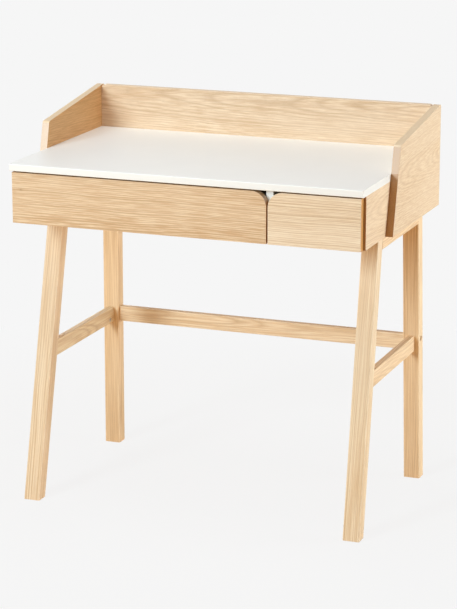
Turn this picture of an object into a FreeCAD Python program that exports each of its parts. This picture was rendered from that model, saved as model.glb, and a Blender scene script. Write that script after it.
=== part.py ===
"""Writing desk: white worktop, raised oak gallery, two drawers on roller runners, leaning legs.

Millimetres. +X is the sitter's right, +Y runs to the back of the desk and +Z is up.
The origin lies on the floor, midway across the width and the depth.
"""
import FreeCAD
import Part

import math
import os

V = FreeCAD.Vector

# Overall sizes
overall_depth = 496.0
case_width = 780.0
worktop_height = 750.0
gallery_height = 96.0

# Worktop
worktop_thickness = 15.0
worktop_edge_radius = 1.5

# Case that holds the drawers
case_height = 111.0
side_board = 16.0
bottom_board = 12.0
divider_board = 15.0
divider_offset = 185.5

# Gallery round the worktop
gallery_board = 16.0
gallery_foot_setback = 154.0
gallery_nose_setback = 201.0
gallery_nose_drop = 39.0
gallery_corner_radius = 6.0
gallery_rear_radius = 3.5
back_corner_radius = 9.0
board_edge_radius = 1.0

# Drawer fronts
front_board = 16.0
front_setback = 1.0
front_rear_gap = 2.0
front_top_gap = 2.5
front_side_reveal = 5.0
front_gap = 3.0
grip_radius = 32.0

# Drawer boxes
drawer_board = 12.0
drawer_top_space = 15.8
drawer_rear_space = 43.0
drawer_base_thickness = 4.0
drawer_base_lift = 8.0
groove_depth = 5.0
groove_clearance = 0.1

# Roller runners
runner_space = 13.0
runner_steel = 1.2
runner_lift = 4.0
runner_channel_height = 21.0
runner_flange_reach = 11.2
runner_setback = 2.0
runner_end_space = 20.0
runner_clearance = 0.3
runner_notch_margin = 4.0
flange_wall_gap = 2.2
flange_rail_gap = 0.6
front_nip = 0.5
roller_radius = 9.0
roller_width = 7.0
roller_inset = 12.0
roller_side_gap = 0.8
axle_radius = 2.0
axle_clearance = 0.06
axle_head_radius = 3.4
axle_head_thickness = 0.8
axle_end_play = 0.3
drawer_travel_share = 0.75
stop_height = 3.0
stop_thickness = 1.5
stop_clearance = 0.3

# Leg frame
leg_width = 36.5
leg_depth = 31.0
leg_edge_radius = 2.5
front_foot_setback = 22.0
front_leg_top_setback = 157.0
rear_foot_inset = 2.0
rear_leg_top_inset = 20.5
frame_inset = 15.0
frame_splay = 9.0
rail_height = 34.0
rail_thickness = 24.0
stretcher_height = 35.0
stretcher_thickness = 15.0
stretcher_top = 334.0
stretcher_edge_radius = 1.5

# Foot glides
glide_radius = 10.0
glide_thickness = 4.0
glide_projection = 1.5
glide_clearance = 0.1

# Frame bolts with barrel nuts
bolt_radius = 3.0
bolt_length = 50.0
bolt_head_radius = 5.0
bolt_head_height = 5.5
bolt_socket_width = 5.0
bolt_socket_depth = 3.0
bolt_past_nut = 5.0
bolt_hole_clearance = 0.5
bolt_head_clearance = 0.6
bolt_offset = 9.0
nut_radius = 5.0
nut_length = 12.0
nut_offset = 21.0
nut_wall = 2.0
nut_clearance = 0.1
nut_slot_width = 1.2
nut_slot_depth = 1.0
thread_clearance = 0.05

# Dowels
frame_dowel_radius = 4.0
rail_dowel_length = 30.0
stretcher_dowel_length = 20.0
case_dowel_radius = 3.0
case_dowel_length = 20.0
dowel_clearance = 0.05
dowel_end_gap = 1.0
dowel_chamfer = 0.8
rail_dowel_spread = 9.0

# Wood screws
screw_radius = 2.0
screw_head_radius = 4.0
screw_head_height = 2.6
frame_screw_grip = 24.0
frame_screw_bite = 9.0
panel_screw_bite = 12.0
back_screw_bite = 24.0
drawer_screw_bite = 18.0
runner_screw_radius = 1.6
runner_screw_head_radius = 3.0
runner_screw_head_height = 1.3
runner_screw_bite = 6.0

# Places of repeated fixings, as shares of the piece that carries them
frame_screw_shares = (0.15, 0.5, 0.85)
panel_screw_shares = (0.3, 0.6, 0.9)
panel_screw_height_share = 0.62
case_dowel_shares = (0.12, 0.5, 0.88)
back_screw_shares = (0.28, 0.75)
gallery_dowel_shares = (0.35, 0.75)
drawer_joint_shares = (0.3, 0.8)
runner_screw_shares = (0.12, 0.5, 0.8)

# One overrun serves every cut that has to pass right through
overrun = 2.0

# Planes that several pieces share
front_plane = -overall_depth / 2
rear_plane = overall_depth / 2
case_half = case_width / 2
case_floor = worktop_height - worktop_thickness - case_height
case_roof = worktop_height - worktop_thickness
gallery_top = worktop_height + gallery_height
panel_front = rear_plane - gallery_board
fronts_plane = front_plane + front_setback
drawer_start = fronts_plane + front_board
case_front = drawer_start + front_rear_gap
case_inner_half = case_half - side_board
frame_half = case_half - frame_inset
drawer_floor = case_floor + bottom_board
divider_left = divider_offset - divider_board / 2
divider_right = divider_offset + divider_board / 2
drawer_length = panel_front - drawer_start - drawer_rear_space
runner_length = drawer_length - runner_end_space
runner_base = drawer_floor + runner_lift
side_base = runner_base + runner_steel
drawer_side_height = case_roof - drawer_top_space - side_base
drawer_travel = drawer_travel_share * runner_length
runner_flange = runner_base + runner_channel_height + flange_rail_gap
base_level = side_base + drawer_base_lift
splay_angle = math.degrees(math.atan2(frame_splay, case_floor))
stretcher_base = stretcher_top - stretcher_height
stretcher_middle = stretcher_top - stretcher_height / 2
rail_base = case_floor - rail_height
stretcher_inset = (leg_width - stretcher_thickness) / 2


def block(x_from, x_to, y_from, y_to, z_from, z_to):
    """A board between three pairs of planes."""
    return Part.makeBox(x_to - x_from, y_to - y_from, z_to - z_from, V(x_from, y_from, z_from))


def side_profile(points, x_from, x_to):
    """An outline of (y, z) points drawn out across the width."""
    wire = Part.makePolygon([V(x_from, y, z) for y, z in points + points[:1]])
    return Part.Face(wire).extrude(V(x_to - x_from, 0, 0))


def front_profile(points, y_from, y_to):
    """An outline of (x, z) points drawn out along the depth."""
    wire = Part.makePolygon([V(x, y_from, z) for x, z in points + points[:1]])
    return Part.Face(wire).extrude(V(0, y_to - y_from, 0))


def mirrored(shape):
    """The same piece for the other side of the desk."""
    return shape.mirror(V(0, 0, 0), V(1, 0, 0))


def cut_all(shape, tools):
    """The shape less every tool in the list."""
    return shape.cut(Part.makeCompound(tools)) if tools else shape


def edges_along(shape, direction, least_length):
    """The straight edges that run along a direction and are at least so long."""
    found = []
    for edge in shape.Edges:
        span = edge.Vertexes[-1].Point - edge.Vertexes[0].Point
        if span.Length >= least_length and abs(span.normalize().dot(direction)) > math.cos(math.radians(1)):
            found.append(edge)
    return found


def edges_of_face(shape, normal):
    """The edges round the outermost flat face that looks along a normal."""
    flat = [face for face in shape.Faces if face.normalAt(0, 0).dot(normal) > math.cos(math.radians(1))]
    outermost = max(flat, key=lambda face: face.CenterOfMass.dot(normal))
    return outermost.Edges


def polygon_prism(centre, axis, across_flats, length):
    """A hexagonal prism, as the socket in a bolt's head."""
    side = V(0, 0, 1)
    other = axis.cross(side)
    radius = across_flats / math.sqrt(3)
    corners = []
    for step in range(7):
        turn = math.radians(60 * step)
        corners.append(centre + side * (radius * math.cos(turn)) + other * (radius * math.sin(turn)))
    return Part.Face(Part.makePolygon(corners)).extrude(axis * length)


def dowel(middle, axis, radius, length):
    """A dowel with chamfered ends, centred on the joint that it crosses."""
    rod = Part.makeCylinder(radius, length, middle - axis * (length / 2), axis)
    return rod.makeChamfer(dowel_chamfer, [edge for edge in rod.Edges if len(edge.Vertexes) == 1])


def dowel_hole(middle, axis, radius, length):
    """The hole for a dowel, through both pieces that it joins."""
    reach = length / 2 + dowel_end_gap
    return Part.makeCylinder(radius + dowel_clearance, 2 * reach, middle - axis * reach, axis)


def screw(seat, axis, length, growth=0.0):
    """A countersunk wood screw: the seat is the middle of its head's flat face."""
    radius = screw_radius + growth
    head = Part.makeCone(screw_head_radius + growth, radius, screw_head_height, seat, axis)
    shank_length = length - screw_head_height - screw_radius
    shank = Part.makeCylinder(radius, shank_length, seat + axis * screw_head_height, axis)
    tip = Part.makeCone(radius, 0, radius, seat + axis * (length - screw_radius), axis)
    return head.fuse([shank, tip]).removeSplitter()


def screw_hole(seat, axis, length, recess=0.0):
    """The hole for a countersunk screw, with a straight recess above a sunk head."""
    tools = [screw(seat, axis, length, thread_clearance)]
    if recess:
        tools.append(Part.makeCylinder(screw_head_radius + thread_clearance, recess, seat - axis * recess, axis))
    return tools


def runner_screw(seat, axis):
    """A short pan-head screw that holds a runner against a board."""
    head = Part.makeCylinder(runner_screw_head_radius, runner_screw_head_height, seat, axis * -1)
    shank = Part.makeCylinder(runner_screw_radius, runner_screw_bite + runner_steel, seat, axis)
    return head.fuse(shank)


def runner_screw_hole(seat, axis, length):
    """The hole for a runner's screw."""
    return Part.makeCylinder(runner_screw_radius + thread_clearance, length + thread_clearance, seat, axis)


def bolt(seat, axis):
    """A socket-head bolt: the seat is where the head's underside bears."""
    head = Part.makeCylinder(bolt_head_radius, bolt_head_height, seat - axis * bolt_head_height, axis)
    socket = polygon_prism(seat - axis * bolt_head_height, axis, bolt_socket_width, bolt_socket_depth)
    shank = Part.makeCylinder(bolt_radius, bolt_length, seat, axis)
    return head.cut(socket).fuse(shank).removeSplitter()


def bolt_hole(seat, axis, recess):
    """The clearance hole and the recess that sinks the bolt's head below the face."""
    shank = Part.makeCylinder(bolt_radius + bolt_hole_clearance, bolt_length + bolt_head_clearance, seat, axis)
    length = recess + overrun
    head = Part.makeCylinder(bolt_head_radius + bolt_head_clearance, length, seat - axis * length, axis)
    return [shank, head]


def barrel_nut(face_point, inward, bolt_axis, depth):
    """A barrel nut in its cross hole, which opens in the face at face_point."""
    start = face_point + inward * (depth - nut_length)
    body = Part.makeCylinder(nut_radius, nut_length, start, inward)
    middle = face_point + inward * (stretcher_thickness / 2)
    reach = nut_radius + overrun
    thread = Part.makeCylinder(bolt_radius + thread_clearance, 2 * reach, middle - bolt_axis * reach, bolt_axis)
    slot_side = inward.cross(bolt_axis)
    corner = start - bolt_axis * (nut_radius + overrun) - slot_side * (nut_slot_width / 2)
    slot = Part.Face(Part.makePolygon([
        corner,
        corner + bolt_axis * (2 * reach),
        corner + bolt_axis * (2 * reach) + slot_side * nut_slot_width,
        corner + slot_side * nut_slot_width,
        corner,
    ])).extrude(inward * nut_slot_depth)
    return body.cut([thread, slot])


def barrel_hole(face_point, inward, depth):
    """The blind cross hole for a barrel nut."""
    start = face_point - inward * overrun
    return Part.makeCylinder(nut_radius + nut_clearance, depth + overrun, start, inward)


# Worktop and case

def worktop():
    """White board that lies between the gallery sides, its front edges eased."""
    board = block(-case_half, case_half, front_plane, panel_front, case_roof, worktop_height)
    board = board.makeFillet(worktop_edge_radius, edges_of_face(board, V(0, -1, 0)))
    return cut_all(board, [dowel_hole(point, V(0, 0, 1), case_dowel_radius, case_dowel_length)
                           for point in roof_dowel_points()])


def roof_dowel_points():
    """Where upright dowels join the case sides and the divider to the worktop."""
    points = []
    for x in (-case_half + side_board / 2, divider_offset, case_half - side_board / 2):
        for share in case_dowel_shares[::2]:
            points.append(V(x, case_front + share * (panel_front - case_front), case_roof))
    return points


def floor_dowel_points():
    """Where level dowels join the bottom board to the right case side."""
    level = case_floor + bottom_board / 2
    return [V(case_inner_half, case_front + share * (panel_front - case_front), level)
            for share in case_dowel_shares]


def case_side():
    """Right side of the case, with its dowel holes and its screw holes."""
    board = block(case_inner_half, case_half, case_front, panel_front, case_floor, case_roof)
    tools = [dowel_hole(point, V(0, 0, 1), case_dowel_radius, case_dowel_length)
             for point in roof_dowel_points()]
    tools += [dowel_hole(point, V(1, 0, 0), case_dowel_radius, case_dowel_length)
              for point in floor_dowel_points()]
    for seat in panel_screw_seats():
        tools += screw_hole(seat, V(1, 0, 0), side_board + panel_screw_bite)
    for seat in back_screw_seats():
        tools += screw_hole(seat, V(0, -1, 0), gallery_board + back_screw_bite)
    tools += runner_pilot_holes(case_inner_half, -1)
    return cut_all(board, tools)


def case_bottom():
    """Bottom board of the case, which the leg frames are screwed up into."""
    board = block(-case_inner_half, case_inner_half, case_front, panel_front, case_floor, drawer_floor)
    tools = []
    for point in floor_dowel_points():
        hole = dowel_hole(point, V(1, 0, 0), case_dowel_radius, case_dowel_length)
        tools += [hole, mirrored(hole)]
    for seat in frame_screw_seats():
        for hole in screw_hole(seat, V(0, 0, 1), frame_screw_grip + frame_screw_bite):
            tools += [hole, mirrored(hole)]
    return cut_all(board, tools)


def case_divider():
    """White upright board between the two drawers."""
    board = block(divider_left, divider_right, case_front, panel_front, drawer_floor, case_roof)
    tools = [dowel_hole(point, V(0, 0, 1), case_dowel_radius, case_dowel_length)
             for point in roof_dowel_points()]
    for seat in back_screw_seats():
        tools += screw_hole(seat, V(0, -1, 0), gallery_board + back_screw_bite)
    tools += runner_pilot_holes(divider_left, -1) + runner_pilot_holes(divider_right, 1)
    return cut_all(board, tools)


# Gallery

def gallery_side():
    """Right side of the gallery: leaning front edge, rising top edge, rounded corners."""
    nose_height = gallery_top - gallery_nose_drop
    outline = [
        (front_plane + gallery_foot_setback, case_floor),
        (front_plane + gallery_nose_setback, nose_height),
        (rear_plane, gallery_top),
        (rear_plane, case_floor),
    ]
    board = side_profile(outline, case_half, case_half + gallery_board)
    nose = [edge for edge in edges_along(board, V(1, 0, 0), gallery_board / 2)
            if abs(edge.CenterOfMass.z - nose_height) < gallery_board / 2]
    board = board.makeFillet(gallery_corner_radius, nose)
    rear = [edge for edge in edges_along(board, V(1, 0, 0), gallery_board / 2)
            if edge.CenterOfMass.z > gallery_top - board_edge_radius]
    board = board.makeFillet(gallery_rear_radius, rear)
    board = board.makeFillet(board_edge_radius, edges_of_face(board, V(1, 0, 0)))
    tools = []
    for seat in panel_screw_seats():
        tools += screw_hole(seat, V(1, 0, 0), side_board + panel_screw_bite)
    tools += [dowel_hole(point, V(1, 0, 0), case_dowel_radius, case_dowel_length)
              for point in gallery_dowel_points()]
    return cut_all(board, tools)


def gallery_back():
    """Upright board that closes the case and rises behind the worktop."""
    board = block(-case_half, case_half, panel_front, rear_plane, case_floor, gallery_top)
    corners = [edge for edge in edges_along(board, V(0, 1, 0), gallery_board / 2)
               if edge.CenterOfMass.z > worktop_height]
    board = board.makeFillet(back_corner_radius, corners)
    top_edges = [edge for edge in edges_along(board, V(1, 0, 0), case_half)
                 if edge.CenterOfMass.z > worktop_height]
    board = board.makeFillet(board_edge_radius, top_edges)
    tools = []
    for point in gallery_dowel_points():
        hole = dowel_hole(point, V(1, 0, 0), case_dowel_radius, case_dowel_length)
        tools += [hole, mirrored(hole)]
    for seat in back_screw_seats():
        tools += screw_hole(seat, V(0, -1, 0), gallery_board + back_screw_bite)
    return cut_all(board, tools)


def gallery_dowel_points():
    """Where level dowels join the back board to the right gallery side."""
    middle = rear_plane - gallery_board / 2
    return [V(case_half, middle, worktop_height + share * gallery_height) for share in gallery_dowel_shares]


def panel_screw_seats():
    """Heads of the screws that hold the right gallery side, inside the case."""
    level = case_floor + panel_screw_height_share * case_height
    start = front_plane + gallery_foot_setback
    return [V(case_inner_half, start + share * (panel_front - start), level) for share in panel_screw_shares]


def back_screw_seats():
    """Heads of the screws through the back board into the case sides and the divider."""
    seats = []
    for x in (-case_half + side_board / 2, divider_offset, case_half - side_board / 2):
        for share in back_screw_shares:
            seats.append(V(x, rear_plane, case_floor + share * case_height))
    return seats


# Leg frame: built upright on the right, then leaned outwards about its top outer edge

def leaned(shape):
    """The frame piece swung outwards so that its foot stands wider than its top."""
    turned = shape.copy()
    turned.rotate(V(frame_half, 0, case_floor), V(0, 1, 0), -splay_angle)
    return turned


def front_leg_front(z):
    """Depth of the front leg's front face at a height."""
    foot = front_plane + front_foot_setback
    top = front_plane + front_leg_top_setback
    return foot + (top - foot) * z / case_floor


def front_leg_rear(z):
    """Depth of the front leg's rear face at a height."""
    lean = math.atan2(front_leg_top_setback - front_foot_setback, case_floor)
    return front_leg_front(z) + leg_depth / math.cos(lean)


def rear_leg_rear(z):
    """Depth of the rear leg's rear face at a height."""
    foot = rear_plane - rear_foot_inset
    top = rear_plane - rear_leg_top_inset
    return foot + (top - foot) * z / case_floor


def rear_leg_front(z):
    """Depth of the rear leg's front face at a height."""
    lean = math.atan2(rear_leg_top_inset - rear_foot_inset, case_floor)
    return rear_leg_rear(z) - leg_depth / math.cos(lean)


def leg_blank(front_face, rear_face):
    """A leg with eased long edges, cut level at the floor and under the case."""
    low = -leg_width
    high = case_floor + leg_width
    outline = [(front_face(low), low), (front_face(high), high), (rear_face(high), high), (rear_face(low), low)]
    bar = side_profile(outline, frame_half - leg_width, frame_half)
    along = V(0, front_face(high) - front_face(low), high - low).normalize()
    bar = leaned(bar.makeFillet(leg_edge_radius, edges_along(bar, along, case_floor / 2)))
    slab = block(0, case_width, -overall_depth, overall_depth, glide_projection, case_floor)
    return bar.common(slab)


def frame_bar(z_from, z_to, outer_inset, thickness):
    """A level bar from the front leg's rear face to the rear leg's front face."""
    outline = [
        (front_leg_rear(z_from), z_from),
        (front_leg_rear(z_to), z_to),
        (rear_leg_front(z_to), z_to),
        (rear_leg_front(z_from), z_from),
    ]
    outer = frame_half - outer_inset
    return side_profile(outline, outer - thickness, outer)


def rail_dowel_points():
    """Dowels at both ends of the top rail, before the frame is leaned."""
    x = frame_half - rail_thickness / 2
    points = []
    for z in (case_floor - rail_height / 2 - rail_dowel_spread, case_floor - rail_height / 2 + rail_dowel_spread):
        points.append(V(x, front_leg_rear(z), z))
        points.append(V(x, rear_leg_front(z), z))
    return points


def stretcher_dowel_points():
    """Dowels of the side stretcher: two into the front leg and one into the rear leg."""
    x = frame_half - leg_width / 2
    low = stretcher_middle - bolt_offset
    high = stretcher_middle + bolt_offset
    return [V(x, front_leg_rear(low), low), V(x, front_leg_rear(high), high), V(x, rear_leg_front(high), high)]


def frame_dowel_places():
    """Middle and length of every dowel in one side frame, before the frame is leaned."""
    places = [(point, rail_dowel_length) for point in rail_dowel_points()]
    return places + [(point, stretcher_dowel_length) for point in stretcher_dowel_points()]


def frame_dowel_holes():
    """All dowel holes of one side frame, leaned with it."""
    return [leaned(dowel_hole(point, V(0, 1, 0), frame_dowel_radius, length))
            for point, length in frame_dowel_places()]


def side_bolt_end():
    """Where the side bolt's axis meets the rear leg's front face, before leaning."""
    z = stretcher_middle - bolt_offset
    return V(frame_half - leg_width / 2, rear_leg_front(z), z)


def side_bolt_seat():
    """Where the side bolt's head bears, sunk into the rear leg."""
    return side_bolt_end() + V(0, bolt_length - nut_offset - bolt_past_nut, 0)


def side_nut_face():
    """Where the side stretcher's barrel hole opens, on its inner face."""
    end = side_bolt_end()
    return V(end.x - stretcher_thickness / 2, end.y - nut_offset, end.z)


def rear_bolt_end():
    """Where the rear stretcher's bolt axis meets the right rear leg's inner face."""
    z = stretcher_middle + bolt_offset
    face_x = frame_half - leg_width + (case_floor - z) * frame_splay / case_floor
    return V(face_x, rear_stretcher_middle(), z)


def rear_bolt_seat():
    """Where the rear bolt's head bears, sunk into the outer face of the leg."""
    return rear_bolt_end() + V(bolt_length - nut_offset - bolt_past_nut, 0, 0)


def rear_nut_face():
    """Where the rear stretcher's barrel hole opens, on its rear face."""
    end = rear_bolt_end()
    return V(end.x - nut_offset, end.y + stretcher_thickness / 2, end.z)


def rear_stretcher_middle():
    """Depth of the rear stretcher's middle, halfway through the rear legs."""
    return (rear_leg_front(stretcher_middle) + rear_leg_rear(stretcher_middle)) / 2


def rear_dowel_point():
    """The dowel beside the rear stretcher's bolt."""
    z = stretcher_middle - bolt_offset
    end = rear_bolt_end()
    return V(end.x, end.y, z)


def glide_seat(front_face, rear_face):
    """Middle of a leg's foot, on the floor."""
    middle = frame_half - leg_width / 2 + frame_splay
    return V(middle, (front_face(0) + rear_face(0)) / 2, 0)


def glide_recess(front_face, rear_face):
    """The round recess under a foot that the glide sits in."""
    seat = glide_seat(front_face, rear_face)
    return Part.makeCylinder(glide_radius + glide_clearance, glide_thickness, seat, V(0, 0, 1))


def front_leg():
    """Right front leg, which leans back as it rises."""
    tools = frame_dowel_holes() + [glide_recess(front_leg_front, front_leg_rear)]
    return cut_all(leg_blank(front_leg_front, front_leg_rear), tools)


def rear_leg():
    """Right rear leg, with the sunk holes of both stretchers' bolts."""
    recess = leg_depth - (bolt_length - nut_offset - bolt_past_nut)
    tools = frame_dowel_holes() + [glide_recess(rear_leg_front, rear_leg_rear)]
    tools += [leaned(hole) for hole in bolt_hole(side_bolt_seat(), V(0, -1, 0), recess)]
    recess = leg_width - (bolt_length - nut_offset - bolt_past_nut)
    tools += bolt_hole(rear_bolt_seat(), V(-1, 0, 0), recess)
    tools.append(dowel_hole(rear_dowel_point(), V(1, 0, 0), frame_dowel_radius, stretcher_dowel_length))
    return cut_all(leg_blank(rear_leg_front, rear_leg_rear), tools)


def top_rail():
    """Right rail under the case, flush with the outer faces of its legs."""
    bar = leaned(frame_bar(rail_base, case_floor + rail_height, 0, rail_thickness))
    bar = bar.common(block(0, case_width, front_plane, rear_plane, 0, case_floor))
    tools = frame_dowel_holes()
    for seat in frame_screw_seats():
        tools += screw_hole(seat, V(0, 0, 1), frame_screw_grip + frame_screw_bite, rail_height)
    return cut_all(bar, tools)


def frame_screw_seats():
    """Heads of the screws that go up through the right rail into the case."""
    start = front_leg_rear(case_floor)
    length = rear_leg_front(case_floor) - start
    x = frame_half - rail_thickness / 2
    return [V(x, start + share * length, case_floor - frame_screw_grip) for share in frame_screw_shares]


def side_stretcher():
    """Right stretcher, centred in its legs and cut to the lean of the front leg."""
    bar = frame_bar(stretcher_base, stretcher_top, stretcher_inset, stretcher_thickness)
    bar = leaned(bar.makeFillet(stretcher_edge_radius, edges_along(bar, V(0, 1, 0), overall_depth / 4)))
    tools = frame_dowel_holes()
    tools += [leaned(hole) for hole in bolt_hole(side_bolt_seat(), V(0, -1, 0), leg_depth)]
    tools.append(leaned(barrel_hole(side_nut_face(), V(1, 0, 0), stretcher_thickness - nut_wall)))
    return cut_all(bar, tools)


def rear_stretcher():
    """Long stretcher between the rear legs, its ends cut to their splay."""
    half = frame_half - leg_width / 2
    middle = rear_stretcher_middle()
    bar = block(-half, half, middle - stretcher_thickness / 2, middle + stretcher_thickness / 2,
                stretcher_base, stretcher_top)
    bar = bar.makeFillet(stretcher_edge_radius, edges_along(bar, V(1, 0, 0), half))
    leg = leg_blank(rear_leg_front, rear_leg_rear)
    tools = [leg, mirrored(leg)]
    holes = bolt_hole(rear_bolt_seat(), V(-1, 0, 0), leg_width)
    holes.append(dowel_hole(rear_dowel_point(), V(1, 0, 0), frame_dowel_radius, stretcher_dowel_length))
    holes.append(barrel_hole(rear_nut_face(), V(0, -1, 0), stretcher_thickness - nut_wall))
    for hole in holes:
        tools += [hole, mirrored(hole)]
    return cut_all(bar, tools)


# Drawers: each is described by the planes of its opening and the ends of its front

def large_opening():
    """Walls of the large drawer's opening."""
    return -case_inner_half, divider_left


def small_opening():
    """Walls of the small drawer's opening."""
    return divider_right, case_inner_half


def drawer_front(x_from, x_to, grip_x):
    """A drawer front with its grip corner rounded and its front edges eased."""
    top = case_roof - front_top_gap
    board = block(x_from, x_to, fronts_plane, drawer_start, case_floor, top)
    corner = [edge for edge in edges_along(board, V(0, 1, 0), front_board / 2)
              if edge.CenterOfMass.z > top - front_board and abs(edge.CenterOfMass.x - grip_x) < front_board]
    board = board.makeFillet(grip_radius, corner)
    return board.makeFillet(board_edge_radius, edges_of_face(board, V(0, -1, 0)))


def large_front():
    """Front of the large drawer, with its grip at the upper right."""
    grip = divider_offset - front_gap / 2
    board = drawer_front(-case_half + front_side_reveal, grip, grip)
    return cut_all(board, front_tools(large_opening()))


def small_front():
    """Front of the small drawer, with its grip at the upper left."""
    grip = divider_offset + front_gap / 2
    board = drawer_front(grip, case_half - front_side_reveal, grip)
    return cut_all(board, front_tools(small_opening()))


def front_tools(opening):
    """The groove for the drawer's base and the dowel holes for its sides."""
    left, right = box_walls(opening)
    groove = block(left + drawer_board - groove_depth, right - drawer_board + groove_depth,
                   drawer_start - groove_depth, drawer_start + overrun,
                   base_level, base_level + drawer_base_thickness + groove_clearance)
    holes = [dowel_hole(point, V(0, 1, 0), case_dowel_radius, case_dowel_length)
             for point in drawer_dowel_points(opening)]
    return [groove] + holes


def box_walls(opening):
    """Outer faces of a drawer's two sides."""
    return opening[0] + runner_space, opening[1] - runner_space


def drawer_dowel_points(opening):
    """Dowels between a drawer's front and its two sides."""
    left, right = box_walls(opening)
    points = []
    for x in (left + drawer_board / 2, right - drawer_board / 2):
        for share in drawer_joint_shares:
            points.append(V(x, drawer_start, side_base + share * drawer_side_height))
    return points


def drawer_side(opening, outer_x, inward):
    """One side of a drawer box, grooved for the base."""
    inner_x = outer_x + inward * drawer_board
    low, high = sorted((outer_x, inner_x))
    board = block(low, high, drawer_start, drawer_start + drawer_length,
                  side_base, side_base + drawer_side_height)
    groove_low, groove_high = sorted((inner_x - inward * groove_depth, inner_x + inward * overrun))
    groove = block(groove_low, groove_high, drawer_start - overrun, drawer_start + drawer_length + overrun,
                   base_level, base_level + drawer_base_thickness + groove_clearance)
    tools = [groove]
    tools += [dowel_hole(point, V(0, 1, 0), case_dowel_radius, case_dowel_length)
              for point in drawer_dowel_points(opening)]
    for seat, axis in drawer_screw_seats(opening):
        tools += screw_hole(seat, axis, drawer_board + drawer_screw_bite)
    tools += [runner_screw_hole(V(outer_x, y, z), V(inward, 0, 0), runner_screw_bite)
              for y, z in drawer_runner_screw_places()]
    return cut_all(board, tools)


def drawer_screw_seats(opening):
    """Heads of the screws through a drawer's sides into its back, with their directions."""
    left, right = box_walls(opening)
    y = drawer_start + drawer_length - drawer_board / 2
    seats = []
    for share in drawer_joint_shares:
        z = base_level + drawer_base_thickness + share * drawer_back_height()
        seats.append((V(left, y, z), V(1, 0, 0)))
        seats.append((V(right, y, z), V(-1, 0, 0)))
    return seats


def drawer_back_height():
    """Height of a drawer's back, from its base to the top of its sides."""
    return side_base + drawer_side_height - base_level - drawer_base_thickness


def drawer_back(opening):
    """Back of a drawer box, standing on the base between the sides."""
    left, right = box_walls(opening)
    rear = drawer_start + drawer_length
    base_top = base_level + drawer_base_thickness
    board = block(left + drawer_board, right - drawer_board, rear - drawer_board, rear,
                  base_top, base_top + drawer_back_height())
    tools = []
    for seat, axis in drawer_screw_seats(opening):
        tools += screw_hole(seat, axis, drawer_board + drawer_screw_bite)
    return cut_all(board, tools)


def drawer_base(opening):
    """Thin base that slides into the grooves of the sides and the front."""
    left, right = box_walls(opening)
    return block(left + drawer_board - groove_depth + groove_clearance,
                 right - drawer_board + groove_depth - groove_clearance,
                 drawer_start - groove_depth + groove_clearance, drawer_start + drawer_length,
                 base_level, base_level + drawer_base_thickness)


# Roller runners

def case_runner_start():
    """Front end of the runners on the case."""
    return case_front + runner_setback


def case_roller_place():
    """Depth and height of the fixed roller's axle."""
    top = runner_base + runner_channel_height + flange_rail_gap - runner_clearance
    return case_runner_start() + roller_inset, top - roller_radius


def drawer_roller_place():
    """Depth and height of the axle of the roller at the drawer runner's rear end."""
    y = drawer_start + front_nip + runner_length - roller_inset
    return y, runner_base + runner_channel_height / 2


def roller_reach_at_stop():
    """How far a drawer's roller reaches ahead of its axle at the height of the stop's top."""
    drop = roller_radius - (stop_height - runner_clearance)
    return math.sqrt(roller_radius ** 2 - drop ** 2)


def runner_screw_places():
    """Screws that hold a runner to the case."""
    middle = runner_base + runner_channel_height / 2
    return [(case_runner_start() + share * runner_length, middle) for share in runner_screw_shares]


def drawer_runner_screw_places():
    """Screws that hold a runner to a drawer's side."""
    middle = runner_base + runner_channel_height / 2
    return [(drawer_start + front_nip + share * runner_length, middle) for share in runner_screw_shares]


def runner_pilot_holes(wall_x, inward):
    """Pilot holes in a case board, behind the runner fixed on it."""
    return [runner_screw_hole(V(wall_x, y, z), V(-inward, 0, 0), runner_screw_bite)
            for y, z in runner_screw_places()]


def axle(start, outward, roller_gap):
    """A riveted axle that holds a roller beside a runner's web."""
    length = roller_gap + roller_width + axle_end_play
    pin = Part.makeCylinder(axle_radius, length, start, outward)
    head = Part.makeCylinder(axle_head_radius, axle_head_thickness, start + outward * length, outward)
    return pin.fuse(head)


def case_runner(wall_x, inward):
    """Steel channel on the case: two flanges, a front roller's axle and an end stop."""
    t = runner_steel
    top = runner_base + runner_channel_height
    reach = runner_flange_reach
    section = [
        (0, runner_base), (reach, runner_base), (reach, runner_base + t), (t, runner_base + t),
        (t, top - t), (reach, top - t), (reach, top), (0, top),
    ]
    start = case_runner_start()
    outline = [(wall_x + inward * u, z) for u, z in section]
    channel = front_profile(outline, start, start + runner_length)
    roller_y, roller_z = case_roller_place()
    low, high = sorted((wall_x + inward * t, wall_x + inward * (reach + overrun)))
    notch = block(low, high, start - overrun, roller_y + roller_radius + runner_notch_margin,
                  top - t - runner_clearance, top + overrun)
    channel = channel.cut(notch)
    pin = axle(V(wall_x + inward * t, roller_y, roller_z), V(inward, 0, 0), roller_side_gap)
    stop_low, stop_high = sorted((wall_x, wall_x + inward * reach))
    stop_y = drawer_roller_place()[0] - drawer_travel - roller_reach_at_stop() - stop_clearance
    stop = block(stop_low, stop_high, stop_y - stop_thickness, stop_y, runner_base, runner_base + t + stop_height)
    body = channel.fuse([pin, stop]).removeSplitter()
    holes = [runner_screw_hole(V(wall_x, y, z), V(inward, 0, 0), t + overrun)
             for y, z in runner_screw_places()]
    return cut_all(body, holes)


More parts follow.
